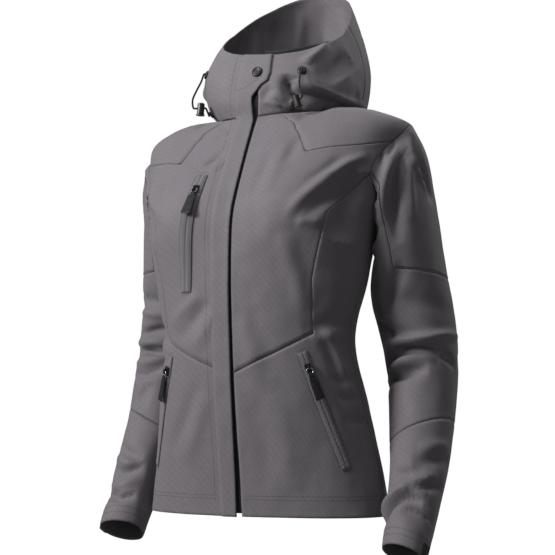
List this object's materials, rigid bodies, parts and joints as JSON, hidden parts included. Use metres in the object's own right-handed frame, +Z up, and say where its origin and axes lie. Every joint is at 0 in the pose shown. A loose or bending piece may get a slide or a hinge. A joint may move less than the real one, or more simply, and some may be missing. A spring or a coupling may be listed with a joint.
{
  "type": "softshell jacket",
  "caption": "Hooded softshell jacket standing on its own hollow shape, with a snap storm flap over the front zip, zipped pockets, a hood drawcord and open cuffs.",
  "frame": {"origin": "middle of the neck opening, at the height of the neck seam, where the wearer holds the jacket", "axes": "+Z up, -Y the front, +X the wearer's left"},
  "size_m": [0.5344, 0.3565, 0.8979],
  "materials": {
    "softshell": "matt woven softshell",
    "black_rib": "matt ribbed webbing",
    "black_zip": "matt coil zip",
    "grey_tape": "matt woven tape",
    "bright_metal": "satin plated",
    "black_plastic": "semi-gloss moulded",
    "black_cord": "braided elastic cord"
  },
  "bodies": {
    "jacket": {"front_left_upper": "softshell", "front_right_upper": "softshell", "front_left_lower": "softshell", "front_right_lower": "softshell", "back": "softshell", "yoke": "softshell", "sleeve_left_outer": "softshell", "sleeve_left_main": "softshell", "sleeve_left_lower": "softshell", "sleeve_right_outer": "softshell", "sleeve_right_main": "softshell", "sleeve_right_lower": "softshell", "hood_left": "softshell", "hood_right": "softshell", "hood_center": "softshell", "storm_flap": "softshell", "cuff_tab_left": "black_rib", "cuff_tab_right": "black_rib", "hood_facing": "black_rib", "cord_anchor_left": "black_rib", "cord_anchor_right": "black_rib", "front_zip": "black_zip", "chest_zip": "grey_tape", "hand_zip_left": "grey_tape", "hand_zip_right": "grey_tape", "chest_slider": "bright_metal", "hand_slider_left": "bright_metal", "hand_slider_right": "bright_metal", "snap": "black_plastic", "eyelet_left": "black_plastic", "eyelet_right": "black_plastic", "cord_lock_left": "black_plastic", "cord_lock_right": "black_plastic", "cord_left": "black_cord", "cord_right": "black_cord"},
    "chest_pull": {"chest_pull": "black_plastic"},
    "hand_pull_left": {"hand_pull_left": "black_plastic"},
    "hand_pull_right": {"hand_pull_right": "black_plastic"}
  },
  "joints": [
    {"name": "chest_pull_swing", "type": "hinge", "parent": "jacket", "child": "chest_pull", "pos_m": [-0.05545, -0.13013, -0.12384], "axis": [-0.9968, -0.0214, 0.0775], "range_deg": [0, 155]},
    {"name": "hand_pull_left_swing", "type": "hinge", "parent": "jacket", "child": "hand_pull_left", "pos_m": [0.11609, -0.1091, -0.38639], "axis": [-0.7721, -0.5177, -0.3685], "range_deg": [0, 155]},
    {"name": "hand_pull_right_swing", "type": "hinge", "parent": "jacket", "child": "hand_pull_right", "pos_m": [-0.11609, -0.1091, -0.38639], "axis": [-0.7721, 0.5177, 0.3685], "range_deg": [0, 155]}
  ]
}
